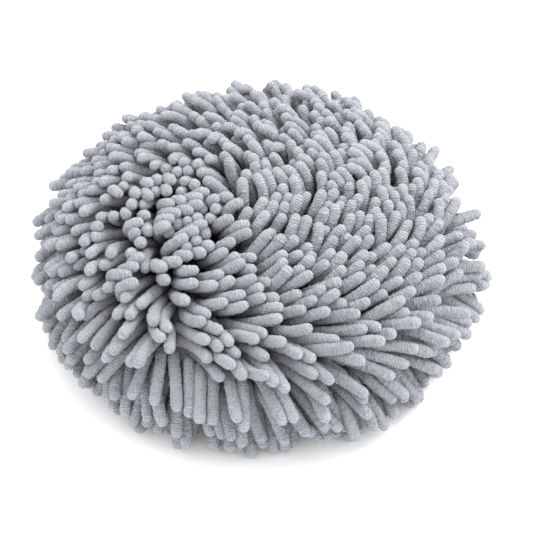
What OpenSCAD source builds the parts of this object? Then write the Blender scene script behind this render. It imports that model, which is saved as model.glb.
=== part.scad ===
// Chenille wash brush head for cars and wheels: a soft slip-on cover over a round plastic plate
// with a foam pad, and a swivelling, tilting socket for a pole. It lies chenille side up, as on a
// bench, with its socket folded flat under the plate. Millimetres, +Z up, the floor is z = 0 and
// the swivel's axis is the Z axis.

/* [Chenille cover] */
// Diameter over the chenille pile
pile_d = 280; // [272:2:300]
// Height of the pile's crown above the floor
pile_top = 93; // [88:1:104]
// Thickness of the cover's cloth
cloth_t = 1.2; // [1.0:0.1:1.6]

/* [Foam pad] */
// Rise of the foam's crown above the plate
foam_rise = 20; // [18:1:24]

/* [Head plate] */
// Diameter of the plate
plate_d = 200; // [196:1:206]
// Thickness of the plate's web
plate_t = 2.5; // [2:0.1:3]
// Number of radial ribs, with a drain hole between each two
rib_count = 12; // [8:1:16]

/* [Pole joint] */
// Diameter of the pole that the socket takes
pole_d = 25; // [22:0.5:25]
// Depth of the socket's bore
bore_depth = 48; // [40:1:48]
// Diameter of the pivot bolt
pivot_d = 8; // [6:1:8]

/* [Hidden] */
ring_count = 8;
$fn = 64;

// Clearances
running = 0.05;   // radial, between a bearing and its journal
seat = 0.05;      // between two faces that rest on each other
cut = 0.1;        // how far a cutter runs past the face that it opens
air = 0.3;        // between soft layers

// Pole joint, folded flat under the plate with the socket along +Y
socket_wall = 1.9;
socket_r = pole_d / 2 + 0.1 + socket_wall;
bore_r = pole_d / 2 + 0.1;
collar_r = socket_r + 1;
collar_w = 7;
pivot_z = collar_r + 1.5;
knuckle_r = 9;
tongue_w = 16;
neck_l = 24.5;
taper_l = 8.5;
blind_wall = 3;
socket_l = neck_l + taper_l + blind_wall + bore_depth;
snap_hole_r = 4;
snap_inset = 14;
grip_count = 8;
grip_w = 2;
grip_rise = 0.7;
grip_gap = 3;
washer_t = 0.8;
ear_t = 5.5;
ear_x = tongue_w / 2 + washer_t + 2 * seat;
bolt_head_h = 4.5;
bolt_head_r = 6.4;
bolt_key_r = 2.9;
bolt_key_depth = 2.5;
bolt_end = 8;
nut_h = 6.5;
nut_r = 7.5;

// Plate and swivel
rib_z = pivot_z + collar_r + 1;
rib_h = 4;
rib_w = 1.8;
plate_r = plate_d / 2;
plate_z = rib_z + rib_h;
front_z = plate_z + plate_t;
lip_t = 2.5;
lip_z = plate_z - 10;
rib_start = 15;
rib_reach = plate_r - 14;
ring_rib_r = 56;
drain_r = 4.5;
drain_at = 72;
journal_r = 11;
hub_r = 24;
boss_r = 16;
boss_z = front_z + 2;
thrust_t = 0.8;
hub_z = rib_z - 2;
turntable_r = 23;
turntable_top = hub_z - thrust_t - 2 * seat;
turntable_z = turntable_top - 4;
retainer_r = 15;
retainer_t = 1.5;
retainer_z = boss_z + 0.3;
screw_r = 2.5;
screw_depth = 11;
screw_end = 10;
screw_head_h = 3;
screw_slot_w = 1.2;
screw_slot_l = 6;
screw_slot_depth = 1.5;
thread_gap = 0.01;

// Foam pad
foam_r = plate_r + 2;
foam_z = front_z + 0.2;
foam_top = foam_z + foam_rise;
pocket_r = 18.5;
pocket_h = retainer_z - foam_z + retainer_t + 5;
foam_round = 2.8;   // exponent of the pad's rounded outline

// Cover: the cloth's inside runs over the foam and down past the plate's lip
cloth_r = foam_r + 0.6;
cloth_top = foam_top + air;
seam_z = lip_z + 2.5;
skirt_z = lip_z - 1;
tape_t = 1.2;
hem_r = plate_r - 7.5;
hem_z = lip_z + 2;
hem_tube = 3.6;
casing_t = 0.9;
elastic_tube = 2.5;
tape_h = 7;

// Pile: its outside is a crowned dome down to the widest line, then a fringe to the floor
pile_r = pile_d / 2;
belt_z = foam_z;
pile_round = 2.3;
fringe_out = 16;    // how far the fringe draws in from the widest line to the floor
fringe_r = cloth_r + cloth_t + tape_t + 2 * air;
ring_gap = 0.3;
dome_share = 6 / ring_count;   // share of the rings that lie above the widest line
outline_steps = 5;
dome_steps = 16;

// Label
label_w = 24;
label_l = 8.5;
label_t = 0.4;
label_turn = 205;

// A quarter outline from the axis to radius r, rising by h: t runs from 0 to 1
function crown(t, r, h, n) = [r * pow(sin(90 * t), 2 / n), h * pow(cos(90 * t), 2 / n)];

// The cloth's outside at u, from 0 at the crown to 1 at the seam
function cloth_at(u) = u < dome_share
    ? crown(u / dome_share, cloth_r + cloth_t, cloth_top + cloth_t - foam_z, foam_round) + [0, foam_z]
    : [cloth_r + cloth_t,
       foam_z + (seam_z - foam_z) * (u - dome_share) / (1 - dome_share)];

// The pile's outside at u, from 0 at the crown to 1 at the floor
function pile_at(u) = u < dome_share
    ? crown(u / dome_share, pile_r, pile_top - belt_z, pile_round) + [0, belt_z]
    : let (v = 90 * (u - dome_share) / (1 - dome_share))
      [pile_r - fringe_out * (1 - cos(v)), belt_z * (1 - sin(v))];

// Steps from a to b, both ends included
function steps(a, b) = [for (i = [0:outline_steps]) a + (b - a) * i / outline_steps];

function backwards(list) = [for (i = [len(list) - 1:-1:0]) list[i]];

// One ring of the pile, from the cloth out to the noodles' tips. The last ring hangs to the floor.
module chenille_ring(k) {
    last = k == ring_count;
    to = k / ring_count - (last ? 0 : ring_gap / pile_d);
    us = steps((k - 1) / ring_count, to);
    outside = [for (u = us) pile_at(u)];
    inside = [for (u = backwards(us)) cloth_at(u) + [air * min(1, ring_count * u), air]];
    tape_top = seam_z + tape_h / 2 + air;
    hanging = [[fringe_r, 0], [fringe_r, tape_top]];
    tail = last ? concat(hanging, [for (p = inside) if (p[1] > tape_top) p]) : inside;
    color("lightslategray") rotate_extrude() polygon(concat(outside, tail));
}

// The cover's face: a cap of knitted cloth over the foam and the plate's edge
module face_cloth() {
    ts = [for (i = [0:dome_steps]) i / dome_steps];
    outer = [for (t = ts) crown(t, cloth_r + cloth_t, cloth_top + cloth_t - foam_z, foam_round)];
    inner = [for (t = backwards(ts)) crown(t, cloth_r, cloth_top - foam_z, foam_round)];
    drop = [[cloth_r + cloth_t, seam_z - foam_z], [cloth_r, seam_z - foam_z]];
    color("gainsboro") translate([0, 0, foam_z]) rotate_extrude() polygon(concat(outer, drop, inner));
}

// The back skirt: it turns under the plate's lip and ends in a round casing for the elastic
module skirt_cloth() {
    color("silver") rotate_extrude() {
        difference() {
            union() {
                translate([hem_r, skirt_z - cloth_t]) square([cloth_r + cloth_t - hem_r, cloth_t]);
                translate([cloth_r, skirt_z - cloth_t])
                    square([cloth_t, seam_z - air - skirt_z + cloth_t]);
                translate([hem_r, hem_z]) circle(hem_tube);
                translate([hem_r - cloth_t, skirt_z - cloth_t]) square([2 * cloth_t, hem_z - skirt_z]);
            }
            translate([hem_r, hem_z]) circle(hem_tube - casing_t);
        }
    }
}

// The elastic cord that draws the skirt in behind the lip
module elastic_band() {
    color("whitesmoke") translate([0, 0, hem_z]) rotate_extrude() translate([hem_r, 0]) circle(elastic_tube);
}

// Tape sewn over the seam between the face and the skirt
module edge_binding() {
    out = cloth_r + cloth_t;
    low = skirt_z - cloth_t - tape_t;
    color("darkgray") rotate_extrude() {
        translate([out + seat, low]) square([tape_t, seam_z + tape_h / 2 - low]);
        translate([out - tape_h, low]) square([tape_h + tape_t / 2, tape_t - seat]);
    }
}

// A blank label under the skirt, with its outer corners at the binding
module care_label() {
    reach = sqrt(pow(cloth_r + cloth_t - tape_h - cut, 2) - pow(label_w / 2, 2));
    color("white") rotate([0, 0, label_turn])
        translate([reach - label_l, -label_w / 2, skirt_z - cloth_t - label_t - seat])
            cube([label_l, label_w, label_t]);
}

// The domed foam pad, with a pocket in its flat side for the swivel's retainer
module foam_pad() {
    ts = [for (i = [0:dome_steps]) i / dome_steps];
    dome = [for (t = ts) crown(t, foam_r, foam_rise, foam_round)];
    color("khaki") translate([0, 0, foam_z]) rotate_extrude() difference() {
        polygon(concat(dome, [[0, 0]]));
        translate([-cut, -cut]) square([pocket_r + cut, pocket_h + cut]);
    }
}

// The head plate: a web with a down-turned lip, radial ribs, a ring rib, a hub and drain holes
module head_plate() {
    color("dimgray") difference() {
        union() {
            translate([0, 0, plate_z]) cylinder(h = plate_t, r = plate_r);
            difference() {
                translate([0, 0, lip_z]) cylinder(h = plate_z - lip_z + cut, r = plate_r);
                translate([0, 0, lip_z - cut]) cylinder(h = plate_z - lip_z + 3 * cut, r = plate_r - lip_t);
            }
            difference() {
                translate([0, 0, rib_z]) cylinder(h = rib_h + cut, r = ring_rib_r + rib_w);
                translate([0, 0, rib_z - cut]) cylinder(h = rib_h + 3 * cut, r = ring_rib_r);
            }
            for (i = [0:rib_count - 1]) rotate([0, 0, i * 360 / rib_count])
                translate([rib_start, -rib_w / 2, rib_z]) cube([rib_reach - rib_start, rib_w, rib_h + cut]);
            translate([0, 0, hub_z]) cylinder(h = plate_z - hub_z + cut, r = hub_r);
            translate([0, 0, front_z - cut]) cylinder(h = boss_z - front_z + cut, r = boss_r);
        }
        translate([0, 0, hub_z - cut]) cylinder(h = boss_z - hub_z + 2 * cut, r = journal_r + running);
        for (i = [0:rib_count - 1]) rotate([0, 0, (i + 0.5) * 360 / rib_count])
            translate([drain_at, 0, plate_z - cut]) cylinder(h = plate_t + 2 * cut, r = drain_r);
    }
}

// An ear of the swivel's clevis, with its outside face at x
module ear(x) {
    translate([x, 0, 0]) {
        translate([0, 0, pivot_z]) rotate([0, 90, 0]) cylinder(h = ear_t, r = knuckle_r);
        translate([0, -knuckle_r, pivot_z]) cube([ear_t, 2 * knuckle_r, turntable_z - pivot_z + cut]);
    }
}

// The turntable: its journal runs in the plate's hub and its two ears hold the socket
module swivel_base() {
    color("slategray") difference() {
        union() {
            translate([0, 0, turntable_z]) cylinder(h = turntable_top - turntable_z, r = turntable_r);
            translate([0, 0, turntable_top - cut]) cylinder(h = retainer_z - turntable_top + cut, r = journal_r);
            ear(ear_x);
            ear(-ear_x - ear_t);
        }
        translate([-ear_x - ear_t - cut, 0, pivot_z]) rotate([0, 90, 0])
            cylinder(h = 2 * (ear_x + ear_t + cut), r = pivot_d / 2 + running);
        translate([0, 0, retainer_z - screw_depth]) cylinder(h = screw_depth + cut, r = screw_r);
    }
}

// Nylon washer between the turntable and the hub
module thrust_washer() {
    color("ivory") translate([0, 0, turntable_top + seat]) difference() {
        cylinder(h = thrust_t, r = turntable_r - 3);
        translate([0, 0, -cut]) cylinder(h = thrust_t + 2 * cut, r = journal_r + air);
    }
}

// Steel washer on the journal's end that keeps the swivel in the plate
module retaining_washer() {
    color("lightgray") translate([0, 0, retainer_z]) difference() {
        cylinder(h = retainer_t, r = retainer_r);
        translate([0, 0, -cut]) cylinder(h = retainer_t + 2 * cut, r = screw_r + 2 * cut);
    }
}

// Pan-head screw with a cross recess
module retaining_screw() {
    shank = retainer_t + screw_end;
    color("gainsboro") translate([0, 0, retainer_z + retainer_t]) difference() {
        union() {
            cylinder(h = screw_head_h, r = 2 * screw_r);
            translate([0, 0, -shank]) cylinder(h = shank + cut, r = screw_r - thread_gap);
        }
        for (a = [0, 90]) rotate([0, 0, a])
            translate([-screw_slot_l / 2, -screw_slot_w / 2, screw_head_h - screw_slot_depth])
                cube([screw_slot_l, screw_slot_w, screw_slot_depth + cut]);
    }
}

// Puts what is drawn along +Z along the folded socket instead, from y
module along_socket(y) {
    translate([0, y, 0]) rotate([-90, 0, 0]) children();
}

// The neck's blend from the flat tongue to the round tube
module socket_taper() {
    slice = 0.5;
    hull() {
        translate([-tongue_w / 2, neck_l - slice, -knuckle_r]) cube([tongue_w, slice, 2 * knuckle_r]);
        along_socket(neck_l + taper_l) cylinder(h = slice, r = socket_r - seat, $fn = 32);
    }
}

// Straight grip ribs along the tube
module grips() {
    first = neck_l + taper_l + grip_gap;
    for (i = [0:grip_count - 1]) along_socket(first) rotate([0, 0, (i + 0.5) * 360 / grip_count])
        translate([socket_r - 1, -grip_w / 2, 0]) cube([1 + grip_rise, grip_w, socket_l - collar_w - first + 1]);
}

// The socket: a tongue between the ears, a neck, and a tube with a blind bore for the pole
module pole_socket() {
    color("slategray") translate([0, 0, pivot_z]) difference() {
        union() {
            translate([-tongue_w / 2, 0, 0]) rotate([0, 90, 0]) cylinder(h = tongue_w, r = knuckle_r);
            translate([-tongue_w / 2, 0, -knuckle_r]) cube([tongue_w, neck_l, 2 * knuckle_r]);
            socket_taper();
            along_socket(neck_l + taper_l) cylinder(h = socket_l - neck_l - taper_l, r = socket_r);
            along_socket(socket_l - collar_w) cylinder(h = collar_w, r = collar_r);
            grips();
        }
        translate([-tongue_w, 0, 0]) rotate([0, 90, 0]) cylinder(h = 2 * tongue_w, r = pivot_d / 2 + running);
        along_socket(socket_l - bore_depth) cylinder(h = bore_depth + cut, r = bore_r);
        translate([0, socket_l - snap_inset, 0]) rotate([180, 0, 0]) cylinder(h = 2 * socket_r, r = snap_hole_r);
    }
}

// Nylon washers between the tongue and the ears
module friction_washers() {
    for (x = [tongue_w / 2 + seat, -tongue_w / 2 - seat - washer_t])
        color("ivory") translate([x, 0, pivot_z]) rotate([0, 90, 0]) difference() {
            cylinder(h = washer_t, r = knuckle_r - 1);
            translate([0, 0, -cut]) cylinder(h = washer_t + 2 * cut, r = pivot_d / 2 + air);
        }
}

// Pivot bolt with a hexagon socket in its head, through both ears and the tongue
module pivot_bolt() {
    reach = ear_x + ear_t;
    color("silver") translate([0, 0, pivot_z]) rotate([0, 90, 0]) difference() {
        union() {
            translate([0, 0, -reach - bolt_head_h]) cylinder(h = bolt_head_h, r = bolt_head_r);
            translate([0, 0, -reach - cut]) cylinder(h = 2 * reach + bolt_end + cut, r = pivot_d / 2);
        }
        translate([0, 0, -reach - bolt_head_h - cut]) cylinder(h = bolt_key_depth + cut, r = bolt_key_r, $fn = 6);
    }
}

// Hex nut on the bolt's end
module pivot_nut() {
    color("silver") translate([ear_x + ear_t + seat, 0, pivot_z]) rotate([0, 90, 0]) difference() {
        cylinder(h = nut_h, r = nut_r, $fn = 6);
        translate([0, 0, -cut]) cylinder(h = nut_h + 2 * cut, r = pivot_d / 2 + 2 * thread_gap);
    }
}

for (k = [1:ring_count])
    chenille_ring(k);
face_cloth();
skirt_cloth();
elastic_band();
edge_binding();
care_label();
foam_pad();
head_plate();
swivel_base();
thrust_washer();
retaining_washer();
retaining_screw();
pole_socket();
friction_washers();
pivot_bolt();
pivot_nut();
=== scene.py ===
import math

import bpy
import numpy as np
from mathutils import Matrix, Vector


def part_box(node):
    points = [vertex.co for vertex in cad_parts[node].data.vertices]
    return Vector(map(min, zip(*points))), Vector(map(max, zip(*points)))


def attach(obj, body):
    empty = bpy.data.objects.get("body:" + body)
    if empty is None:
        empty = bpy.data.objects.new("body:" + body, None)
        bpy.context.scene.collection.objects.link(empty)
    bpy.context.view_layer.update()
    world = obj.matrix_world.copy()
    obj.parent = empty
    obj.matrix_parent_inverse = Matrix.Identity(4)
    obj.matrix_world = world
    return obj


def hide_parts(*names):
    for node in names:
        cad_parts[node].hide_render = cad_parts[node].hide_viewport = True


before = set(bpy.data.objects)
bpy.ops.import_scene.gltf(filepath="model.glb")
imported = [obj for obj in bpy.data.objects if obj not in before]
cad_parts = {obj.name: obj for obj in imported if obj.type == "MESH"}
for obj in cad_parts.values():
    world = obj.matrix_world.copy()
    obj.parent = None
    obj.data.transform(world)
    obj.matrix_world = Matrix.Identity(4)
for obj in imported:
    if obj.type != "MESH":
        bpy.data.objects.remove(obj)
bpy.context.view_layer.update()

rng = np.random.default_rng(28)

# ---------------------------------------------------------------- measures, in metres, from the frame

cloth_low, cloth_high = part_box("face_cloth")
CLOTH_R = cloth_high.x
CLOTH_TOP = cloth_high.z
SEAM_Z = cloth_low.z
BELT_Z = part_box("foam_pad")[0].z
CLOTH_ROUND = 2.8           # how full the cloth's dome is: 2 is an ellipse, more is squarer
TAPE_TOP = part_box("edge_binding")[1].z
TAPE_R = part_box("edge_binding")[1].x

# ---------------------------------------------------------------- the pile: chenille noodles

NOODLE_R = 0.0034           # half a noodle's thickness
NOODLE_L = 0.039            # and its length
RIB = 0.0015                # pitch of the chenille's ribs
SIDES = 10                  # points round a noodle
BARE = 0.14                 # share of a noodle's length, at its root, that has no ribs
JOINTS = 15                 # points along a noodle
TOUCH_ROOT = 0.0042         # how close two noodles' centre lines come, squeezed at the roots
TOUCH_TIP = 0.0062          # and free at the tips
DOME_RINGS = 6              # rings of noodles on the dome; the fringe has two more
ROW_GAP = 0.0075            # between rows of roots, along the cloth
ROW_TURN = 2.4              # how far each row is turned on from the last, in radians
ROOT_GAP = 0.0074           # between the roots in a row
ROOT_SHIFT = 0.16           # how unevenly they are spaced, as a share of that
ROOT_WOBBLE = 0.0012        # and how far they stray from their row
SETTLE_STEPS = 420
COMB_STEPS = 0.6            # share of the steps in which the comb comes fully to bear
COMB_PULL = 0.0004          # how far the comb draws a tip along at each step

PILE_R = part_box("chenille_ring_6")[1].x
PILE_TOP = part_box("chenille_ring_1")[1].z
PILE_ROUND = 2.3            # how full the pile's dome is
FRINGE_IN = 0.016           # how far the fringe draws in from the widest line to the floor

# How the pile lies: where on the head, in millimetres from its centre as seen from above, the
# heading in degrees that the noodles there lean to (0 is +X, 90 is +Y), and how far they lean,
# from 0, standing straight up, to 1, flat on the head.
STROKES = [
    # the whorl left of the centre, whose tips stand up
    (-46, 4, 255, 0.60), (-28, 15, 218, 0.72), (-42, 26, 250, 0.74), (-26, -8, 205, 0.62),
    (-52, -16, 262, 0.48), (-64, 6, 245, 0.52), (-60, 30, 226, 0.74), (-38, -26, 250, 0.42),
    (-16, 36, 165, 0.55),
    # the parting in front of it
    (-74, -40, 232, 0.82), (-60, -40, 250, 0.74), (-45, -38, 280, 0.62), (-33, -49, 340, 0.68),
    (-68, -68, 236, 0.88), (-50, -78, 262, 0.88), (-35, -74, 305, 0.86), (-28, -63, 342, 0.80),
    (-86, -68, 236, 0.90), (-45, -99, 285, 0.92), (-25, -102, 310, 0.92), (-65, -102, 245, 0.95),
    # the left side, combed out and down
    (-84, -15, 218, 0.88), (-85, 14, 210, 0.90), (-120, -2, 208, 0.95), (-115, -50, 215, 0.95),
    (-100, -65, 222, 0.95), (-95, -92, 228, 0.95), (-100, 40, 208, 0.95), (-65, 45, 198, 0.90),
    # the back, swept round to the left
    (-80, 73, 195, 0.90), (-95, 76, 190, 0.95), (-60, 108, 170, 0.95), (-40, 66, 172, 0.86),
    (-20, 87, 130, 0.88), (-15, 42, 128, 0.76), (15, 103, 112, 0.90), (40, 87, 108, 0.80),
    (75, 73, 118, 0.80), (20, 55, 138, 0.86),
    # the middle, short and nearly upright
    (-5, 12, 96, 0.62), (10, 3, 98, 0.66), (15, 29, 100, 0.78), (45, 24, 96, 0.64),
    (65, 24, 92, 0.66), (80, 19, 85, 0.78), (100, 24, 85, 0.84), (115, 50, 62, 0.90),
    (112, 6, 55, 0.90),
    # the sweep to the right in front of it
    (-12, -29, 35, 0.60), (15, -29, 32, 0.76), (38, -19, 45, 0.80), (57, -13, 75, 0.76),
    (75, -15, 76, 0.80), (10, -44, 20, 0.82), (5, -71, 8, 0.86), (30, -71, 18, 0.88),
    (50, -50, 26, 0.86), (65, -44, 46, 0.82), (85, -49, 25, 0.88), (100, -34, 36, 0.90),
    (110, -53, 20, 0.92), (57, -84, 5, 0.92), (81, -82, 6, 0.94), (-10, -65, 350, 0.84),
    # the front, hanging down
    (10, -99, 338, 0.92), (-18, -92, 322, 0.90), (50, -99, 340, 0.94), (85, -95, 348, 0.95),
    (105, -76, 345, 0.95), (8, -118, 292, 0.95), (45, -118, 315, 0.95), (-45, -118, 265, 0.95),
    (-15, -124, 272, 0.95), (80, -108, 318, 0.95), (-75, -108, 236, 0.95), (125, -23, 345, 0.95),
]
STROKE_REACH = 13.0         # how far a stroke is felt, in millimetres
PLAIN_WEIGHT = 0.003        # where no stroke is felt, the pile leans outwards,
PLAIN_TURN = 25             # turned by this many degrees,
PLAIN_LEAN = 0.95           # and this far
TOP_CELL = 0.005            # side of the squares in which the pile's highest points are looked for
COVER_REACH = 0.012         # how far above a point the pile still shades it
OPEN_DEPTH = 0.006          # how deep in the pile the shade between upright noodles starts
SHADE_DEPTH = 0.012         # over what further depth it is complete
SHADE_FULL = 2.5            # and how much that adds to the painted shade carried as a reading


def mesh_object(name, verts, faces, readings=None):
    """A smooth mesh object: faces are arrays of vertex numbers, readings are values at each vertex."""
    mesh = bpy.data.meshes.new(name)
    mesh.vertices.add(len(verts))
    mesh.vertices.foreach_set("co", np.asarray(verts, float).reshape(-1))
    corners = np.concatenate([f.reshape(-1) for f in faces]).astype(np.int32)
    mesh.loops.add(len(corners))
    mesh.loops.foreach_set("vertex_index", corners)
    sizes = np.concatenate([np.full(len(f), f.shape[1]) for f in faces])
    mesh.polygons.add(len(sizes))
    mesh.polygons.foreach_set("loop_start", (np.cumsum(sizes) - sizes).astype(np.int32))
    mesh.polygons.foreach_set("use_smooth", np.ones(len(sizes), bool))
    for label, values in (readings or {}).items():
        mesh.attributes.new(label, "FLOAT", "POINT").data.foreach_set("value", np.ravel(values))
    mesh.update(calc_edges=True)
    obj = bpy.data.objects.new(name, mesh)
    bpy.context.scene.collection.objects.link(obj)
    return obj


def crown(t, r, h, n):
    """A quarter outline from the axis out to radius r and down from height h."""
    return r * np.sin(np.pi / 2 * t) ** (2 / n), h * np.cos(np.pi / 2 * t) ** (2 / n)


def unit(v):
    """Vectors scaled to a length of one."""
    return v / np.maximum(np.linalg.norm(v, axis=-1, keepdims=True), 1e-12)


def cloth_rows():
    """Rows of noodle roots, crown to seam: radius, height, slope of the cloth and the ring each is in."""
    steps = 4000
    t = np.linspace(0, 1, steps + 1)
    r, z = crown(t, CLOTH_R, CLOTH_TOP - BELT_Z, CLOTH_ROUND)
    z = z + BELT_Z
    arc = np.concatenate([[0], np.cumsum(np.hypot(np.diff(r), np.diff(z)))])
    rows = []
    at = ROW_GAP / 2
    while at < arc[-1]:
        i = int(np.searchsorted(arc, at))
        after = min(i + 1, steps)
        dr, dz = r[after] - r[i - 1], z[after] - z[i - 1]
        size = math.hypot(dr, dz)
        ring = min(int(t[i] * DOME_RINGS), DOME_RINGS - 1)
        rows.append((r[i], z[i], -dz / size, dr / size, ring))
        at += ROW_GAP
    rows.append((CLOTH_R, BELT_Z - 0.0015, 1.0, 0.0, DOME_RINGS))
    rows.append((CLOTH_R, TAPE_TOP + 0.0015, 1.0, 0.0, DOME_RINGS + 1))
    return rows


def pile_normal(x, y):
    """The way out of the pile's dome at a point seen from above."""
    r = np.hypot(x, y) + 1e-9
    q = np.minimum(r / PILE_R, 0.995)
    up = (1 - q ** PILE_ROUND) ** (1 / PILE_ROUND)
    gr = q ** (PILE_ROUND - 1) / PILE_R
    gz = up ** (PILE_ROUND - 1) / (PILE_TOP - BELT_Z)
    return unit(np.stack([gr * x / r, gr * y / r, gz], -1))


def comb_at(x, y):
    """Heading, as a unit vector, and lean of the pile at a point of the head seen from above."""
    px, py = x * 1000, y * 1000
    azimuth = np.arctan2(py, px)
    out = azimuth + np.radians(PLAIN_TURN)
    weight = np.full(len(px), PLAIN_WEIGHT)
    across, along, lean = weight * np.cos(out), weight * np.sin(out), weight * PLAIN_LEAN
    for sx, sy, heading, amount in STROKES:
        w = np.exp(-((px - sx) ** 2 + (py - sy) ** 2) / (2 * STROKE_REACH ** 2))
        weight = weight + w
        across = across + w * math.cos(math.radians(heading))
        along = along + w * math.sin(math.radians(heading))
        lean = lean + w * amount
    return np.arctan2(along, across), lean / weight


def plant():
    """Roots, root directions, comb directions, lengths and rings (from 0, the crown) of all noodles."""
    roots, normals, rings = [], [], []
    turn = 0.0
    for r, z, nr, nz, ring in cloth_rows():
        count = max(3, round(2 * math.pi * r / ROOT_GAP))
        turn += ROW_TURN
        uneven = np.arange(count) + rng.uniform(-ROOT_SHIFT, ROOT_SHIFT, count)
        angles = turn + uneven * 2 * math.pi / count
        wobble = rng.uniform(-ROOT_WOBBLE, ROOT_WOBBLE, count)
        for a, w in zip(angles, wobble):
            roots.append(((r + w * nz) * math.cos(a), (r + w * nz) * math.sin(a), z - w * nr))
            normals.append((nr * math.cos(a), nr * math.sin(a), nz))
            rings.append(ring)
    roots, normals, rings = np.array(roots), np.array(normals), np.array(rings)
    n = len(roots)
    lengths = NOODLE_L * rng.uniform(0.93, 1.05, n)
    tips = roots[:, :2] + normals[:, :2] * NOODLE_L * 0.7
    for _ in range(2):      # where the tips will be decides the stroke, and the stroke where they will be
        heading, lean = comb_at(tips[:, 0], tips[:, 1])
        ahead = np.stack([np.cos(heading), np.sin(heading)], -1) * lean[:, None]
        tips = roots[:, :2] + (normals[:, :2] * 0.6 + ahead * 0.4) * NOODLE_L
    heading = heading + rng.normal(0, 1, n) * (0.2 + 0.5 * (1 - lean))
    lean = np.clip(lean * rng.uniform(0.84, 1.02, n), 0, 0.95)
    out = pile_normal(tips[:, 0], tips[:, 1])
    flat = np.stack([np.cos(heading), np.sin(heading), np.zeros(n)], -1)
    flat = unit(flat - out * (flat * out).sum(1)[:, None])
    comb = flat * lean[:, None] + out * np.sqrt(1 - lean ** 2)[:, None]
    fringe = np.clip((rings - 3.4) / 2.4, 0, 1)[:, None]
    stray = rng.normal(0, 0.22, (n, 3)) * np.array([1, 1, 0.5])
    drop = np.where(rings < DOME_RINGS + 1, rng.uniform(0.2, 0.9, n), 0.85)[:, None]
    hang = unit(normals * np.array([1, 1, 0]) * 0.5 - drop * np.array([0, 0, 1]) + flat * 0.25 + stray)
    comb = unit(comb * (1 - fringe) + hang * fringe)
    return roots, normals, comb, lengths, rings


def near_pairs(p, reach, owner):
    """Pairs of points of different noodles closer than reach, from a grid."""
    cell = np.floor(p / reach).astype(np.int64)
    cell -= cell.min(0) - 1
    dims = cell.max(0) + 2
    flat = (cell[:, 0] * dims[1] + cell[:, 1]) * dims[2] + cell[:, 2]
    order = np.argsort(flat, kind="stable")
    ranked = flat[order]
    one, two = [], []
    index = np.arange(len(p))
    for dx in (-1, 0, 1):
        for dy in (-1, 0, 1):
            for dz in (-1, 0, 1):
                if (dx, dy, dz) < (0, 0, 0):
                    continue
                target = flat + (dx * dims[1] + dy) * dims[2] + dz
                first = np.searchsorted(ranked, target, "left")
                count = np.searchsorted(ranked, target, "right") - first
                a = np.repeat(index, count)
                start = np.repeat(first - (np.cumsum(count) - count), count)
                b = order[start + np.arange(count.sum())]
                if (dx, dy, dz) == (0, 0, 0):
                    keep = a < b
                    a, b = a[keep], b[keep]
                keep = owner[a] != owner[b]
                one.append(a[keep])
                two.append(b[keep])
    a, b = np.concatenate(one), np.concatenate(two)
    keep = ((p[a] - p[b]) ** 2).sum(1) < reach ** 2
    return a[keep], b[keep]


def push_apart(x, a, b, reach, share):
    """Moves the points of each pair apart until they only touch."""
    flat = x.reshape(-1, 3)
    gap = flat[a] - flat[b]
    dist = np.linalg.norm(gap, axis=1)
    want = reach[a] + reach[b]
    hit = dist < want
    a, b, gap, dist, want = a[hit], b[hit], gap[hit], dist[hit], want[hit]
    move = gap / np.maximum(dist, 1e-9)[:, None] * ((want - dist) / 2)[:, None]
    n = len(flat)
    shift = np.zeros_like(flat)
    count = np.bincount(a, minlength=n) + np.bincount(b, minlength=n)
    for i in range(3):
        shift[:, i] = np.bincount(a, move[:, i], n) - np.bincount(b, move[:, i], n)
    flat += shift * (share / np.maximum(1, 0.5 * count))[:, None]


def keep_out(x):
    """Holds the noodles above the cloth, outside the fringe's inner wall and on the floor."""
    gap = NOODLE_R * 0.9
    r = np.hypot(x[..., 0], x[..., 1])
    big_r, high = CLOTH_R + gap, CLOTH_TOP + gap - BELT_Z
    over = np.maximum(x[..., 2] - BELT_Z, 0)
    inside = (r / big_r) ** CLOTH_ROUND + (over / high) ** CLOTH_ROUND
    low = (inside < 1) & (x[..., 2] >= BELT_Z)
    grow = np.where(low, np.maximum(inside, 1e-6) ** (-1 / CLOTH_ROUND), 1)
    top = low & (r < 0.8 * big_r)
    want = BELT_Z + high * np.maximum(1 - (r / big_r) ** CLOTH_ROUND, 0) ** (1 / CLOTH_ROUND)
    x[..., 2] = np.where(top, want, np.where(low, BELT_Z + over * grow, x[..., 2]))
    side = low & ~top
    x[..., 0] = np.where(side, x[..., 0] * grow, x[..., 0])
    x[..., 1] = np.where(side, x[..., 1] * grow, x[..., 1])
    wall = TAPE_R + NOODLE_R + 0.0005
    beside = (x[..., 2] < BELT_Z) & (r < wall)
    out = np.where(beside, wall / np.maximum(r, 1e-9), 1)
    x[..., 0] *= out
    x[..., 1] *= out
    x[..., 2] = np.maximum(x[..., 2], NOODLE_R * 0.97)


def pat_down(x, share):
    """Presses what stands out of the pile's dome back towards it, as a hand would."""
    r = np.hypot(x[..., 0], x[..., 1])
    big_r, high = PILE_R - NOODLE_R, PILE_TOP - NOODLE_R - BELT_Z
    over = np.maximum(x[..., 2] - BELT_Z, 0)
    outside = (r / big_r) ** PILE_ROUND + (over / high) ** PILE_ROUND
    shrink = 1 + share * (np.maximum(outside, 1) ** (-1 / PILE_ROUND) - 1)
    below = np.clip(1 - x[..., 2] / BELT_Z, 0, 1)
    widest = big_r - FRINGE_IN * (1 - np.sqrt(1 - below ** 2))
    draw_in = np.minimum(1, widest / np.maximum(r, 1e-9)) - 1
    shrink = np.where(below > 0, 1 + 3 * share * draw_in, shrink)
    x[..., 0] *= shrink
    x[..., 1] *= shrink
    x[..., 2] = np.where(x[..., 2] > BELT_Z, BELT_Z + over * shrink, x[..., 2])


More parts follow.
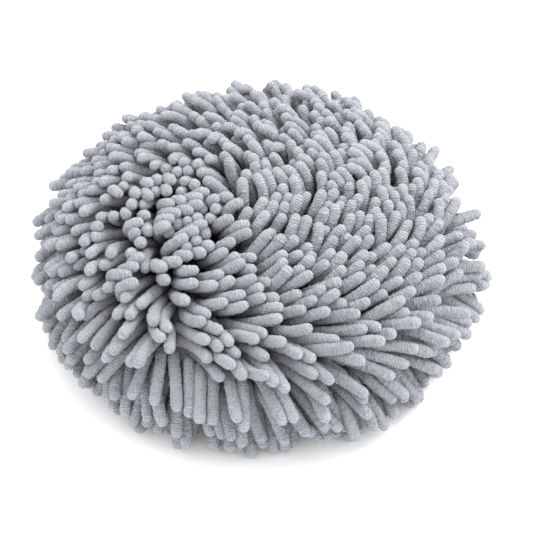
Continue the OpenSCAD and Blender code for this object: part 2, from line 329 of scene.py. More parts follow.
def settle(roots, normals, comb, lengths, rings):
    """Combs the upright pile over, step by step, with every noodle stiff and pushing on its neighbours."""
    n = len(roots)
    seg = lengths / (JOINTS - 1)
    x = roots[:, None] + normals[:, None] * (seg[:, None] * np.arange(JOINTS))[..., None]
    owner = np.repeat(np.arange(n), JOINTS)
    share = np.clip(np.arange(JOINTS) / (JOINTS - 1) / 0.45, 0, 1)
    reach = np.tile((TOUCH_ROOT + (TOUCH_TIP - TOUCH_ROOT) * share) / 2, n)
    weight = np.where(rings > 4, 0.08, 0.03)    # the fringe sags more
    bend_full = 4.0 / (JOINTS - 1)              # how far each piece turns towards the comb
    stroke = COMB_PULL * (np.arange(JOINTS) / (JOINTS - 1))[None, :, None]
    powers = np.linspace(0, 1, JOINTS)[:, None] ** np.arange(4)
    square = powers[:, :3]
    smooth = 0.7 * powers @ np.linalg.pinv(powers) + 0.3 * square @ np.linalg.pinv(square)
    for step in range(SETTLE_STEPS):
        done = min(1, step / (COMB_STEPS * SETTLE_STEPS))
        bend = bend_full * done
        if step % 5 == 0:
            a, b = near_pairs(x.reshape(-1, 3), TOUCH_TIP + 0.0025, owner)
        for k in range(1, JOINTS):
            before = normals if k == 1 else unit(x[:, k - 1] - x[:, k - 2])
            want = before + comb * bend
            want[:, 2] -= weight * done
            x[:, k] += 0.25 * (x[:, k - 1] + unit(want) * seg[:, None] - x[:, k])
        x += comb[:, None] * (stroke * done)
        for _ in range(3):
            push_apart(x, a, b, reach, 0.9)
            pat_down(x, 0.25 * done)
            keep_out(x)
            x += 0.5 * (np.einsum("kj,njc->nkc", smooth, x) - x)
            x[:, 0] = roots
            x[:, 1] = roots + unit(unit(x[:, 1] - roots) + 0.5 * normals) * seg[:, None]
            for k in range(2, JOINTS):
                x[:, k] = x[:, k - 1] + unit(x[:, k] - x[:, k - 1]) * seg[:, None]
    return x


def covered(x):
    """How much of the pile lies over each point, used for painted shade: 0 is open, and 3 or more is deep
    under it.
    """
    flat = x.reshape(-1, 3)
    n = len(x)
    a, b = near_pairs(flat, COVER_REACH, np.repeat(np.arange(n), JOINTS))
    out = pile_normal(flat[:, 0], flat[:, 1])
    load = np.zeros(len(flat))
    for one, two in ((a, b), (b, a)):
        gap = flat[two] - flat[one]
        rise = (gap * out[one]).sum(1)
        dist = np.linalg.norm(gap, axis=1)
        above = np.clip(rise / np.maximum(dist, 1e-6), 0, 1) ** 2
        load += np.bincount(one, above * (COVER_REACH - dist) / COVER_REACH, len(flat))
    return load.reshape(n, JOINTS)


def sunk(x):
    """How deep each point lies in the pile, in metres below the highest noodles around it."""
    r = np.hypot(x[..., 0], x[..., 1])
    high = PILE_TOP - BELT_Z
    over = np.maximum(x[..., 2] - BELT_Z, 0)
    level = ((r / PILE_R) ** PILE_ROUND + (over / high) ** PILE_ROUND) ** (1 / PILE_ROUND)
    cell = np.floor(x[..., :2] / TOP_CELL).astype(int)
    cell -= cell.min((0, 1)) - 1
    row, column = cell[..., 0], cell[..., 1]
    top = np.zeros(cell.max((0, 1)) + 2)
    np.maximum.at(top, (row, column), level)
    around = np.max([np.roll(top, (i, j), (0, 1)) for i in (-1, 0, 1) for j in (-1, 0, 1)], axis=0)
    return (around[row, column] - level) * high


def spline_basis(count, rings_out):
    """Weights that turn a noodle's points into points of one smooth curve, and its slopes."""
    pos, slope = np.zeros((len(rings_out), count)), np.zeros((len(rings_out), count))
    for row, s in enumerate(rings_out):
        f = s * (count - 1)
        i = min(int(f), count - 2)
        u = f - i
        uu, uuu = u ** 2, u ** 3
        h = np.array([-u + 2 * uu - uuu, 2 - 5 * uu + 3 * uuu, u + 4 * uu - 3 * uuu, -uu + uuu]) / 2
        d = np.array([-1 + 4 * u - 3 * uu, -10 * u + 9 * uu, 1 + 8 * u - 9 * uu, -2 * u + 3 * uu]) / 2
        for j in range(4):
            k = i - 1 + j
            if k < 0:
                for w, m in ((pos, h), (slope, d)):
                    w[row, 0] += 2 * m[j]
                    w[row, 1] -= m[j]
            elif k > count - 1:
                for w, m in ((pos, h), (slope, d)):
                    w[row, count - 1] += 2 * m[j]
                    w[row, count - 2] -= m[j]
            else:
                pos[row, k] += h[j]
                slope[row, k] += d[j]
    return pos, slope


def noodle_mesh(name, x, load, seed):
    """One mesh of ribbed, round-ended noodles along their centre lines."""
    bare = 3
    ribs = round((1 - BARE) * NOODLE_L / RIB)
    cap = 5
    end = NOODLE_R / NOODLE_L
    ribbed = np.linspace(BARE, 1 - end, 2 * ribs)
    dome = np.pi / 2 * np.arange(1, cap + 1) / cap
    s = np.concatenate([np.linspace(0, BARE, bare, endpoint=False), ribbed, 1 - end * (1 - np.sin(dome))])
    ball = np.concatenate([np.ones(bare + 2 * ribs), np.cos(dome) ** 0.8])
    ball[-1] = 0.14         # the last ring closes round the tip
    m = len(s)
    pos, slope = spline_basis(JOINTS, s)
    line = np.einsum("mp,npc->nmc", pos, x)
    along = unit(np.einsum("mp,npc->nmc", slope, x))
    # painted shade along each noodle, from how far the pile covers each point
    painted_shade = np.einsum("mp,np->nm", pos, load)
    side = unit(np.cross(along[:, 0], np.array([0.3, 0.5, 0.8])))
    frames = np.zeros_like(along)
    for i in range(m):
        side = unit(side - along[:, i] * (side * along[:, i]).sum(1)[:, None])
        frames[:, i] = side
    other = np.cross(along, frames)
    gen = np.random.default_rng(seed)
    n = len(x)
    phi = np.arange(SIDES) * 2 * np.pi / SIDES
    ridge = np.zeros(m)
    ridge[bare:bare + 2 * ribs:2] = 1
    girth = gen.uniform(0.94, 1.05, (n, 1, 1))
    slow = 1 + 0.03 * np.sin(s[None, :, None] * 11 + gen.uniform(0, 6.3, (n, 1, 1)))
    tuft = ridge[None, :, None] * gen.uniform(0.0, 0.2, (n, m, SIDES))
    tuft += gen.normal(0, 0.02, (n, m, SIDES))
    radius = NOODLE_R * girth * ball[None, :, None] * slow * (0.955 + tuft)
    radius[:, 0] *= 0.55    # drawn in where it is sewn
    round_it = frames[:, :, None] * np.cos(phi)[:, None] + other[:, :, None] * np.sin(phi)[:, None]
    verts = line[:, :, None] + radius[..., None] * round_it
    slip = gen.normal(0, 0.0002, (n, m, SIDES)) * (s < 1 - end)[None, :, None]
    verts += slip[..., None] * along[:, :, None]
    verts = np.concatenate([verts.reshape(n, m * SIDES, 3), x[:, -1][:, None]], 1)
    per = m * SIDES + 1
    i, j = np.meshgrid(np.arange(m - 1), np.arange(SIDES), indexing="ij")
    beside = (j + 1) % SIDES
    here, ahead = i * SIDES, (i + 1) * SIDES
    quads = np.stack([here + j, here + beside, ahead + beside, ahead + j], -1).reshape(-1, 4)
    last = (m - 1) * SIDES + np.arange(SIDES)
    fan = np.stack([last, np.roll(last, -1), np.full(SIDES, m * SIDES)], -1)
    starts = np.arange(n) * per
    quads = (quads[None] + starts[:, None, None]).reshape(-1, 4)
    fan = (fan[None] + starts[:, None, None]).reshape(-1, 3)
    # the painted shade goes to every point round each ring and to the tip
    shade = np.concatenate([np.repeat(painted_shade, SIDES, axis=1), painted_shade[:, -1:]], 1)
    count = s[None, :] * NOODLE_L / RIB + gen.uniform(0, 1, (n, 1))
    count = np.concatenate([np.repeat(count, SIDES, axis=1), count[:, -1:]], 1)
    tone = np.repeat(gen.uniform(0, 1, n), per)
    readings = {"tone": tone, "painted_shade": shade, "rib": count}
    return mesh_object(name, verts.reshape(-1, 3), [quads, fan], readings)


# ---------------------------------------------------------------- materials


class Finish:
    """A material that is being put together from shader nodes."""

    def __init__(self, name):
        self.mat = bpy.data.materials.new(name)
        self.mat.use_nodes = True
        self.nodes, self.links = self.mat.node_tree.nodes, self.mat.node_tree.links
        self.bsdf = self.nodes["Principled BSDF"]
        self.place = self.nodes.new("ShaderNodeTexCoord").outputs["Object"]
        parts = self.nodes.new("ShaderNodeSeparateXYZ")
        self.links.new(self.place, parts.inputs[0])
        self.x, self.y, self.z = parts.outputs

    def put(self, value, socket):
        """Sets a socket to a plain value, or links another node's output to it."""
        if isinstance(value, (int, float, tuple)):
            socket.default_value = value
        else:
            self.links.new(value, socket)

    def reading(self, label):
        node = self.nodes.new("ShaderNodeAttribute")
        node.attribute_name = label
        return node.outputs["Fac"]

    def noise(self, scale, detail=2, harsh=0.6, stretch=None):
        node = self.nodes.new("ShaderNodeTexNoise")
        for socket, v in (("Scale", scale), ("Detail", detail), ("Roughness", harsh)):
            node.inputs[socket].default_value = v
        place = self.place
        if stretch:
            mapping = self.nodes.new("ShaderNodeMapping")
            mapping.inputs["Scale"].default_value = stretch
            self.links.new(place, mapping.inputs["Vector"])
            place = mapping.outputs["Vector"]
        self.links.new(place, node.inputs["Vector"])
        return node.outputs["Fac"]

    def cells(self, scale, feature="F1"):
        node = self.nodes.new("ShaderNodeTexVoronoi")
        node.feature = feature
        node.inputs["Scale"].default_value = scale
        self.links.new(self.place, node.inputs["Vector"])
        return node.outputs["Distance"]

    def maths(self, kind, one, two=None):
        node = self.nodes.new("ShaderNodeMath")
        node.operation = kind
        self.put(one, node.inputs[0])
        if two is not None:
            self.put(two, node.inputs[1])
        return node.outputs["Value"]

    def wave(self, value, per_unit):
        """A sine of value with that many turns to the unit, as a height from 0 to 1."""
        turn = self.maths("SINE", self.maths("MULTIPLY", value, 2 * math.pi * per_unit))
        return self.span(turn, -1, 1, 0, 1)

    def around(self, count):
        """A sine that has count turns round the Z axis, as a height from 0 to 1."""
        turn = self.maths("MULTIPLY", self.maths("ARCTAN2", self.y, self.x), count)
        return self.span(self.maths("SINE", turn), -1, 1, 0, 1)

    def span(self, value, low, high, to_low, to_high):
        """Maps value from low..high to to_low..to_high, and holds it there."""
        node = self.nodes.new("ShaderNodeMapRange")
        self.links.new(value, node.inputs["Value"])
        for socket, v in (("From Min", low), ("From Max", high), ("To Min", to_low), ("To Max", to_high)):
            node.inputs[socket].default_value = v
        return node.outputs["Result"]

    def mix(self, kind, fac, one, two):
        node = self.nodes.new("ShaderNodeMix")
        node.data_type = "RGBA"
        node.blend_type = kind
        for socket, value in (("Factor", fac), ("A", one), ("B", two)):
            self.put(value, [i for i in node.inputs if i.name == socket and i.enabled][0])
        return [o for o in node.outputs if o.enabled][0]

    def bump(self, height, distance, strength=0.8):
        node = self.nodes.new("ShaderNodeBump")
        node.inputs["Strength"].default_value = strength
        node.inputs["Distance"].default_value = distance
        self.links.new(height, node.inputs["Height"])
        self.links.new(node.outputs["Normal"], self.bsdf.inputs["Normal"])

    def done(self, colour, roughness, **others):
        self.put(colour, self.bsdf.inputs["Base Color"])
        self.put(roughness, self.bsdf.inputs["Roughness"])
        for label, value in others.items():
            self.put(value, self.bsdf.inputs[label.replace("_", " ")])
        return self.mat


def chenille():
    """Ribbed chenille: tufted ridges along each noodle, with painted shade in the grooves between the
    ridges and deep in the pile, and darker flecks where the fuzz is low: painted shade between the tufts,
    and random fibre tone.
    """
    f = Finish("chenille")
    wander = f.maths("MULTIPLY", f.noise(700), 1.9)
    ridge = f.wave(f.maths("ADD", f.reading("rib"), wander), 1)
    tufts = f.span(f.cells(1500, "SMOOTH_F1"), 0, 0.8, 1, 0)
    fibres = f.maths("MULTIPLY", f.noise(4200, 3, 0.7), 0.55)
    fuzz = f.maths("ADD", f.maths("MULTIPLY", tufts, 0.6), fibres)
    base = f.mix("MIX", f.reading("tone"), (0.404, 0.421, 0.462, 1), (0.472, 0.489, 0.530, 1))
    # painted shade: the colour goes nearly black where the pile covers a noodle and deep between upright
    # ones
    dark = f.mix("MIX", f.span(f.reading("painted_shade"), 0.5, 3.0, 0, 0.9), base, (0.045, 0.045, 0.047, 1))
    # painted shade: this colour darkens the grooves between the ribs and the hollows between the tufts
    groove_shade = (0.45, 0.45, 0.47, 1)
    groove_shaded = f.mix("MULTIPLY", f.span(ridge, 0, 0.7, 0.38, 0), dark, groove_shade)
    # darker where the fuzz is low: painted shade between the tufts, with random fibre flecks
    tufts_shaded_and_flecked = f.mix("MULTIPLY", f.span(fuzz, 0.4, 0.75, 0.34, 0), groove_shaded, groove_shade)
    f.bump(f.maths("ADD", ridge, fuzz), 0.0011)
    return f.done(tufts_shaded_and_flecked, 0.95, Sheen_Weight=0.35, Sheen_Roughness=0.4, Specular_IOR_Level=0.1)


def knit(name, light, dark, wales, courses):
    """Knitted cloth: wales round the Z axis and courses per millimetre down from the middle."""
    f = Finish(name)
    wale = f.around(wales)
    loop = f.wave(f.maths("ADD", f.reading("down"), f.maths("MULTIPLY", wale, 0.5 / courses)), courses)
    height = f.maths("ADD", f.maths("MULTIPLY", wale, loop), f.maths("MULTIPLY", f.noise(4000), 0.4))
    f.bump(height, 0.0003)
    worn = f.mix("MULTIPLY", f.span(f.noise(60, 3), 0.3, 0.7, 0.2, 0), light, dark)
    # the colour follows the bump: painted shade in the hollows between the loops, where the knit is low
    return f.done(f.mix("MIX", f.span(height, 0.1, 0.8, 0, 1), dark, worn), 0.9, Sheen_Weight=0.2)


def woven(name, light, dark, warps, wefts, sheen=0.15, gloss=0.85):
    """Woven cloth or tape: warps round the Z axis and wefts per millimetre across."""
    f = Finish(name)
    warp, weft = f.around(warps), f.wave(f.reading("down"), wefts)
    over = f.maths("ABSOLUTE", f.maths("SUBTRACT", warp, weft))
    height = f.maths("ADD", over, f.maths("MULTIPLY", f.noise(5000), 0.5))
    f.bump(height, 0.00018)
    worn = f.mix("MULTIPLY", f.span(f.noise(90, 3), 0.3, 0.7, 0.25, 0), light, dark)
    # the colour follows the bump: painted shade where the weave dips
    return f.done(f.mix("MIX", f.span(height, 0, 1, 0, 1), dark, worn), gloss, Sheen_Weight=sheen)


def thread(name, colour):
    """Twisted sewing thread, a little darker in places."""
    f = Finish(name)
    f.bump(f.noise(6000), 0.0001)
    twist = f.mix("MULTIPLY", f.span(f.noise(1500), 0.3, 0.7, 0.35, 0), colour, (0.5, 0.5, 0.5, 1))
    return f.done(twist, 0.7)


def open_foam():
    """Yellowish open-cell foam with dark pores."""
    f = Finish("foam")
    pores = f.cells(900, "SMOOTH_F1")
    fine = f.noise(2500, 3)
    f.bump(f.maths("ADD", pores, f.maths("MULTIPLY", fine, 0.4)), 0.0006)
    aged, fresh = (0.62, 0.55, 0.30, 1), (0.72, 0.66, 0.40, 1)
    yellow = f.mix("MIX", f.span(f.noise(25, 3), 0.3, 0.7, 0, 1), aged, fresh)
    return f.done(f.mix("MULTIPLY", f.span(pores, 0.2, 0.6, 0, 0.5), yellow, (0.35, 0.28, 0.12, 1)), 0.95)


def satin():
    """White satin ribbon, slightly soiled."""
    f = Finish("label_satin")
    f.bump(f.wave(f.maths("ADD", f.x, f.y), 3500), 0.00004)
    clean, dirt = (0.84, 0.84, 0.82, 1), (0.75, 0.73, 0.7, 1)
    soiled = f.mix("MULTIPLY", f.span(f.noise(180, 3), 0.4, 0.7, 0, 0.3), clean, dirt)
    return f.done(soiled, 0.38, Anisotropic=0.5)


def moulded(name, colour, worn, grain, depth, rough_low, rough_high):
    """Moulded plastic with the mould's spark texture and a little unevenness in gloss."""
    f = Finish(name)
    skin = f.noise(grain, 3, 0.65)
    f.bump(skin, depth, 0.6)
    tone = f.mix("MIX", f.span(f.noise(30, 4), 0.35, 0.65, 0, 1), colour, worn)
    gloss = f.span(f.noise(120, 4), 0.3, 0.7, rough_low, rough_high)
    return f.done(tone, gloss, Specular_IOR_Level=0.4)


def nylon():
    """Natural, creamy nylon."""
    f = Finish("natural_nylon")
    f.bump(f.noise(1200), 0.00008, 0.5)
    tone = f.mix("MIX", f.noise(90, 3), (0.78, 0.76, 0.68, 1), (0.84, 0.82, 0.75, 1))
    return f.done(tone, f.span(f.noise(300, 3), 0.3, 0.7, 0.28, 0.42), Subsurface_Weight=0.15)


def zinc(name, threaded_from=None):
    """Zinc-plated steel. A screw thread starts at threaded_from, in metres along X."""
    f = Finish(name)
    flakes = f.cells(700)
    lines = f.noise(900, 3, stretch=(0.08, 1, 1))
    height = f.maths("MULTIPLY", lines, 0.15)
    if threaded_from is not None:
        turned = f.maths("ADD", f.x, f.maths("MULTIPLY", f.noise(200), 0.00002))
        on = f.maths("GREATER_THAN", f.x, threaded_from)
        height = f.maths("ADD", height, f.maths("MULTIPLY", f.wave(turned, 800), on))
    f.bump(height, 0.0005 if threaded_from is not None else 0.00012, 0.7)
    tone = f.mix("MIX", f.span(flakes, 0.1, 0.6, 0, 1), (0.50, 0.51, 0.535, 1), (0.42, 0.43, 0.44, 1))
    return f.done(tone, f.span(f.noise(500, 3), 0.3, 0.7, 0.26, 0.42), Metallic=1.0)


# ---------------------------------------------------------------- sewn cover and foam

MM = 0.001
CLOTH_T = 1.2 * MM
skirt_low, skirt_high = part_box("skirt_cloth")
elastic_low, elastic_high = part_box("elastic_band")
tape_low, tape_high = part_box("edge_binding")
HEM_Z = (elastic_low.z + elastic_high.z) / 2
ELASTIC_R = (elastic_high.z - elastic_low.z) / 2
HEM_R = elastic_high.x - ELASTIC_R
CASING_R = skirt_high.z - HEM_Z
TAPE_IN = TAPE_R - 8.3 * MM             # the tape's inner edge, under the skirt


def along_path(points, step):
    """Points spaced evenly along a path of (radius, height) points."""
    points = np.array(points, float)
    arc = np.concatenate([[0], np.cumsum(np.linalg.norm(np.diff(points, axis=0), axis=1))])
    at = np.linspace(0, arc[-1], max(3, int(arc[-1] / step)))
    return np.stack([np.interp(at, arc, points[:, i]) for i in (0, 1)], -1)


def arc_points(r, z, radius, start, end, count):
    """Points on an arc about (r, z), from the angle start to end in degrees."""
    a = np.radians(np.linspace(start, end, count))
    return [(r + radius * math.cos(t), z + radius * math.sin(t)) for t in a]


def turned_sheet(name, path, thick, wave, turns):
    """A sheet turned about Z: its middle line is path, and wave(angles, down) moves it along its normal."""
    m = len(path)
    tangent = np.gradient(path, axis=0)
    tangent /= np.linalg.norm(tangent, axis=1, keepdims=True)
    normal = np.stack([tangent[:, 1], -tangent[:, 0]], -1)
    angles = np.arange(turns) * 2 * np.pi / turns
    down = np.concatenate([[0], np.cumsum(np.linalg.norm(np.diff(path, axis=0), axis=1))])
    lift = wave(angles[:, None], down[None, :])
    above, under = [path + (lift + half)[..., None] * normal for half in (thick / 2, -thick / 2)]
    outline = np.concatenate([above, under[:, ::-1]], 1)
    r, z = outline[..., 0], outline[..., 1]
    verts = np.stack([r * np.cos(angles)[:, None], r * np.sin(angles)[:, None], z], -1)
    per = 2 * m
    i, j = np.meshgrid(np.arange(turns) * per, np.arange(per), indexing="ij")
    ahead, beside = (i + per) % (turns * per), (j + 1) % per
    quads = np.stack([i + j, ahead + j, ahead + beside, i + beside], -1).reshape(-1, 4)
    measure = np.tile(np.concatenate([down, down[::-1]]) / MM, turns)
    return mesh_object(name, verts.reshape(-1, 3), [quads], {"down": measure})


def folds(count, seed, spread=0.45):
    """An uneven run of gathers round the edge: a function of the angle, from 0 to 1."""
    gen = np.random.default_rng(seed)
    terms = []
    for _ in range(6):
        turns = round(count * (1 + spread * gen.uniform(-1, 1)))
        terms.append((turns, gen.uniform(0, 2 * np.pi), gen.uniform(0.5, 1)))

    def height(angles):
        total = sum(w * np.sin(k * angles + p) for k, p, w in terms)
        return 0.5 + 0.5 * np.tanh(total)
    return height


def stitches(name, radius, height, count, out):
    """A row of sewn stitches round the Z axis. The way up from the cloth is out, as (radial, z)."""
    gen = np.random.default_rng(count)
    length, thick = 2.3 * MM, 0.28 * MM
    steps, sides = 6, 6
    t = np.linspace(-0.5, 0.5, steps)
    angles = (np.arange(count) + gen.uniform(-0.08, 0.08, count)) * 2 * np.pi / count
    rise = (0.28 * MM - 1.9 * MM * t ** 2)[None, :]
    slant = gen.uniform(-0.15, 0.15, count)[:, None] * MM * t[None, :]
    turn = angles[:, None] + t[None, :] * length / radius
    r = radius + out[0] * rise + out[1] * slant
    z = height + out[1] * rise - out[0] * slant
    line = np.stack([r * np.cos(turn), r * np.sin(turn), z], -1)
    up = np.stack([out[0] * np.cos(turn), out[0] * np.sin(turn), np.full_like(turn, out[1])], -1)
    side = np.stack([-out[1] * np.cos(turn), -out[1] * np.sin(turn), np.full_like(turn, out[0])], -1)
    phi = np.arange(sides) * 2 * np.pi / sides
    girth = thick * np.array([0.55, 0.95, 1, 1, 0.95, 0.55])[None, :, None, None]
    round_it = up[:, :, None] * np.cos(phi)[:, None] + side[:, :, None] * np.sin(phi)[:, None]
    verts = line[:, :, None] + girth * round_it
    i, j = np.meshgrid(np.arange(steps - 1), np.arange(sides), indexing="ij")
    beside = (j + 1) % sides
    here, ahead = i * sides, (i + 1) * sides
    quads = np.stack([here + j, here + beside, ahead + beside, ahead + j], -1)
    ends = np.stack([np.arange(sides)[::-1], (steps - 1) * sides + np.arange(sides)])
    starts = np.arange(count) * steps * sides
    quads = (quads.reshape(-1, 4)[None] + starts[:, None, None]).reshape(-1, 4)
    ends = (ends[None] + starts[:, None, None]).reshape(-1, sides)
    return mesh_object(name, verts.reshape(-1, 3), [quads, ends])


def dress(obj, mat, body="head", replaced=()):
    """Gives a piece its material and the body it rides on, and hides the CAD nodes it stands for."""
    obj.data.materials.append(mat)
    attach(obj, body)
    if replaced:
        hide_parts(*replaced)
    return obj


def cover_face():
    """The knitted face: cloth over the foam, eased in at its edge and dimpled along the noodle rows."""
    t = np.linspace(0.004, 1, 400)
    r, z = crown(t, CLOTH_R - CLOTH_T / 2, CLOTH_TOP - CLOTH_T / 2 - BELT_Z, CLOTH_ROUND)
    path = list(zip(r, z + BELT_Z)) + [(CLOTH_R - CLOTH_T / 2, SEAM_Z + 0.2 * MM)]
    path = along_path(path, 2 * MM)
    ease = folds(70, 5)
    whole = np.linalg.norm(np.diff(path, axis=0), axis=1).sum()

    def wave(angles, down):
        edge = np.clip((down / whole - 0.8) / 0.2, 0, 1)
        rows = np.sin(down / ROW_GAP * 2 * np.pi)
        return -0.35 * MM * edge * ease(angles) - 0.12 * MM * (1 + rows) * (1 - edge)
    return turned_sheet("cover_face", path, CLOTH_T * 0.8, wave, 288)


def cover_skirt():
    """The back skirt: from the seam down past the plate's lip, in under it and round the elastic."""
    outer = CLOTH_R - CLOTH_T / 2
    low = skirt_low.z + CLOTH_T / 2
    tube = CASING_R - CLOTH_T / 2 + 0.1 * MM
    path = [(outer, SEAM_Z - 0.4 * MM)] + arc_points(outer - 1 * MM, low + 1 * MM, 1 * MM, 0, -90, 8)
    path += [(HEM_R + 3.4 * MM, low)] + arc_points(HEM_R, HEM_Z, tube, -96, -396, 44)
    path = along_path(path, 0.6 * MM)
    gather = folds(84, 9)
    crease = folds(150, 12)
    turn_in = outer - HEM_R

    def wave(angles, down):
        amount = np.clip((down - turn_in * 0.85) / (6 * MM), 0, 1)
        return MM * amount * (0.42 * gather(angles) + 0.16 * crease(angles + down * 8) - 0.30)
    return turned_sheet("cover_skirt", path, CLOTH_T * 0.62, wave, 540)


def binding_tape():
    """Tape folded over the seam and turned in under the skirt."""
    thick = 1.0 * MM
    r, low = tape_high.x - thick / 2, tape_low.z + thick / 2
    bend = 1.2 * MM
    path = [(r, TAPE_TOP)] + arc_points(r - bend, low + bend, bend, 0, -90, 10) + [(TAPE_IN, low)]
    pucker = folds(110, 21)

    def wave(angles, down):
        return 0.1 * MM * (pucker(angles + down * 3) - 0.5)
    return turned_sheet("binding", along_path(path, 0.5 * MM), thick, wave, 540)


def elastic_cord():
    """The braided elastic in the casing."""
    sides, turns = 24, 480
    a = np.arange(sides) * 2 * np.pi / sides
    angles = np.arange(turns) * 2 * np.pi / turns
    braid = 1 + 0.04 * np.sin(240 * angles[:, None]) * np.cos(4 * a[None, :])
    radius = (ELASTIC_R - 0.45 * MM) * braid
    r, z = HEM_R + radius * np.cos(a), HEM_Z + radius * np.sin(a)
    verts = np.stack([r * np.cos(angles)[:, None], r * np.sin(angles)[:, None], z], -1)
    i, j = np.meshgrid(np.arange(turns) * sides, np.arange(sides), indexing="ij")
    ahead, beside = (i + sides) % (turns * sides), (j + 1) % sides
    quads = np.stack([i + j, ahead + j, ahead + beside, i + beside], -1).reshape(-1, 4)
    down = np.tile(np.arange(sides) * ELASTIC_R / MM / 4, turns)
    return mesh_object("elastic", verts.reshape(-1, 3), [quads], {"down": down})


def care_label():
    """A blank satin label, sewn in at the binding; its free edge droops and curls a little."""
    wide, long, thick, turn = 24 * MM, 8.5 * MM, 0.35 * MM, math.radians(205)
    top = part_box("care_label")[1].z - 0.1 * MM
    reach = math.sqrt(TAPE_IN ** 2 - (wide / 2) ** 2) - 0.2 * MM
    nu, nv = 33, 15
    u, v = np.meshgrid(np.linspace(-0.5, 0.5, nu), np.linspace(0, 1, nv), indexing="ij")
    droop = 0.9 * MM * v ** 1.6 + 0.35 * MM * v * np.sin(7 * u + 0.6) ** 2 + 0.5 * MM * v * (2 * u) ** 4
    sides = []
    for depth in (0, thick):
        x, y, z = reach - long * v, wide * u, top - droop - depth
        across = x * math.sin(turn) + y * math.cos(turn)
        sides.append(np.stack([x * math.cos(turn) - y * math.sin(turn), across, z], -1))
    verts = np.concatenate([side.reshape(-1, 3) for side in sides])
    i, j = np.meshgrid(np.arange(nu - 1), np.arange(nv - 1), indexing="ij")
    a, b, c, d = i * nv + j, (i + 1) * nv + j, (i + 1) * nv + j + 1, i * nv + j + 1
    one = np.stack([a, b, c, d], -1).reshape(-1, 4)
    near, right = np.arange(nu) * nv, (nu - 1) * nv + np.arange(1, nv)
    far, left = np.arange(nu - 2, -1, -1) * nv + nv - 1, np.arange(nv - 2, 0, -1)
    rim = np.concatenate([near, right, far, left])
    nxt = np.roll(rim, -1)
    back = nu * nv
    walls = np.stack([rim, rim + back, nxt + back, nxt], -1)
    return mesh_object("label", verts, [one, one[:, ::-1] + back, walls])


def foam():
    """The foam pad: a dome with bevelled edges and a pocket underneath, over the swivel's retainer."""
    low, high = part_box("foam_pad")
    pad_r, rise = high.x - 0.3 * MM, high.z - low.z - 0.3 * MM
    t = np.linspace(0, 1, 90)
    r, z = crown(t, pad_r, rise - 1 * MM, CLOTH_ROUND)
    washer_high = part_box("retaining_washer")[1]
    pocket_r = washer_high.x + 3.6 * MM
    pocket_z = washer_high.z + 5 * MM
    base = low.z + 0.1 * MM
    tip, edge = 0.05 * MM, 0.8 * MM
    path = [(max(a, tip), b + base + 1 * MM) for a, b in zip(r, z)]
    path += [(pad_r, base + edge), (pad_r - edge, base), (pocket_r + edge, base)]
    path += [(pocket_r, base + edge), (pocket_r, pocket_z), (tip, pocket_z)]
    path = along_path(path, 1.5 * MM)
    m, turns = len(path), 240
    gen = np.random.default_rng(77)
    angles = np.arange(turns) * 2 * np.pi / turns
    rough = gen.normal(0, 0.05 * MM, (turns, m)) * (path[:, 1] > base + 1.5 * MM)
    r, z = path[None, :, 0] + rough, path[None, :, 1] - np.abs(rough)
    verts = np.stack([r * np.cos(angles)[:, None], r * np.sin(angles)[:, None], z], -1)
    i, j = np.meshgrid(np.arange(turns) * m, np.arange(m - 1), indexing="ij")
    ahead = (i + m) % (turns * m)
    quads = np.stack([i + j + 1, ahead + j + 1, ahead + j, i + j], -1).reshape(-1, 4)
    caps = np.stack([np.arange(turns) * m, (np.arange(turns) * m + m - 1)[::-1]])
    return mesh_object("foam", verts.reshape(-1, 3), [quads, caps])


# ---------------------------------------------------------------- build

chenille_mat = chenille()
roots, normals, comb, lengths, rings = plant()
lines = settle(roots, normals, comb, lengths, rings)
# painted shade: points deep in the pile and under other noodles are darkened in the chenille's colour
deep = np.clip((sunk(lines) - OPEN_DEPTH) / SHADE_DEPTH, 0, 1)
load = covered(lines) + SHADE_FULL * deep
for k in range(DOME_RINGS + 2):
    mine = rings == k
    piece = noodle_mesh(f"noodles_{k + 1}", lines[mine], load[mine], 100 + k)
    dress(piece, chenille_mat, replaced=[f"chenille_ring_{k + 1}"])

knitted = knit("knit_cloth", (0.30, 0.31, 0.33, 1), (0.16, 0.165, 0.18, 1), 420, 0.9)
face = dress(cover_face(), knitted, replaced=["face_cloth"])
backing = woven("skirt_cloth", (0.27, 0.28, 0.31, 1), (0.13, 0.135, 0.15, 1), 900, 1.6)
skirt = dress(cover_skirt(), backing, replaced=["skirt_cloth"])
braid = woven("elastic_braid", (0.8, 0.8, 0.78, 1), (0.5, 0.5, 0.48, 1), 480, 0.8)
elastic = dress(elastic_cord(), braid, replaced=["elastic_band"])
tape = woven("binding_tape", (0.17, 0.175, 0.20, 1), (0.08, 0.085, 0.1, 1), 1100, 1.1, 0.1, 0.7)
binding = dress(binding_tape(), tape, replaced=["edge_binding"])
label = dress(care_label(), satin(), replaced=["care_label"])
pad = dress(foam(), open_foam(), replaced=["foam_pad"])
sewing = thread("sewing_thread", (0.42, 0.43, 0.46, 1))
for name, radius, height, count, out, slot in (
        ("binding_stitches_side", TAPE_R, TAPE_TOP - 1.9 * MM, 210, (1, 0), "binding_tape"),
        ("binding_stitches_under", TAPE_R - 6.7 * MM, tape_low.z, 196, (0, -1), "binding_tape"),
        ("casing_stitches", HEM_R + 3.2 * MM, skirt_low.z + 0.15 * MM, 196, (0, -1), "skirt_cloth")):
    dress(stitches(name, radius, height, count, out), sewing)

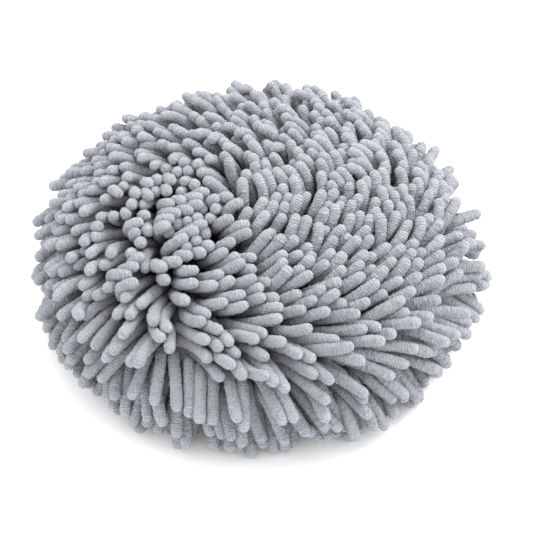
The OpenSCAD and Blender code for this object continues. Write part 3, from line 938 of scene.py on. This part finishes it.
grey, pale_grey = (0.072, 0.077, 0.086, 1), (0.088, 0.092, 0.10, 1)
black, pale_black = (0.022, 0.024, 0.027, 1), (0.03, 0.032, 0.035, 1)
plate_plastic = moulded("plate_plastic", grey, pale_grey, 1500, 0.00012, 0.5, 0.66)
joint_plastic = moulded("joint_plastic", black, pale_black, 1100, 0.00009, 0.36, 0.5)
thread_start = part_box("pivot_bolt")[1].x - 8 * MM
for node, mat in (
        ("head_plate", plate_plastic), ("swivel_base", joint_plastic), ("pole_socket", joint_plastic),
        ("thrust_washer", nylon()), ("friction_washers", nylon()),
        ("retaining_washer", zinc("zinc_washer")), ("retaining_screw", zinc("zinc_screw")),
        ("pivot_nut", zinc("zinc_nut")), ("pivot_bolt", zinc("zinc_bolt", thread_start))):
    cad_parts[node].data.materials.clear()
    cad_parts[node].data.materials.append(mat)

# ---------------------------------------------------------------- floor, light and camera

floor_mesh = bpy.data.meshes.new("floor")
floor_mesh.from_pydata([(-6, -6, 0), (6, -6, 0), (6, 6, 0), (-6, 6, 0)], [], [(0, 1, 2, 3)])
floor = bpy.data.objects.new("floor", floor_mesh)
bpy.context.scene.collection.objects.link(floor)
floor_mesh.materials.append(Finish("pale_floor").done((0.93, 0.93, 0.93, 1), 0.9))


def area_light(name, place, size, power):
    """A round lamp at place, aimed at the middle of the head."""
    data = bpy.data.lights.new(name, "AREA")
    data.shape = "DISK"
    data.size = size
    data.energy = power
    lamp = bpy.data.objects.new(name, data)
    lamp.location = place
    lamp.rotation_euler = (Vector((0, 0, 0.05)) - lamp.location).to_track_quat("-Z", "Y").to_euler()
    bpy.context.scene.collection.objects.link(lamp)


area_light("key", (0.9, 0.6, 1.2), 1.2, 26)
bpy.context.scene.view_settings.view_transform = "Standard"
world = bpy.data.worlds.new("studio")
bpy.context.scene.world = world
world.use_nodes = True
world.node_tree.nodes["Background"].inputs["Color"].default_value = (1, 1, 1, 1)
world.node_tree.nodes["Background"].inputs["Strength"].default_value = 1.85

camera = bpy.data.objects.new("camera", bpy.data.cameras.new("camera"))
camera.data.lens = 135
camera.data.sensor_width = 36
elevation = math.radians(45.5)
target = Vector((0.005, 0, 0.0275))
distance = 1.185
camera.location = target + Vector((0, -math.cos(elevation), math.sin(elevation))) * distance
camera.rotation_euler = (target - camera.location).to_track_quat("-Z", "Y").to_euler()
camera.data.clip_start = 0.05
bpy.context.scene.collection.objects.link(camera)
bpy.context.scene.camera = camera
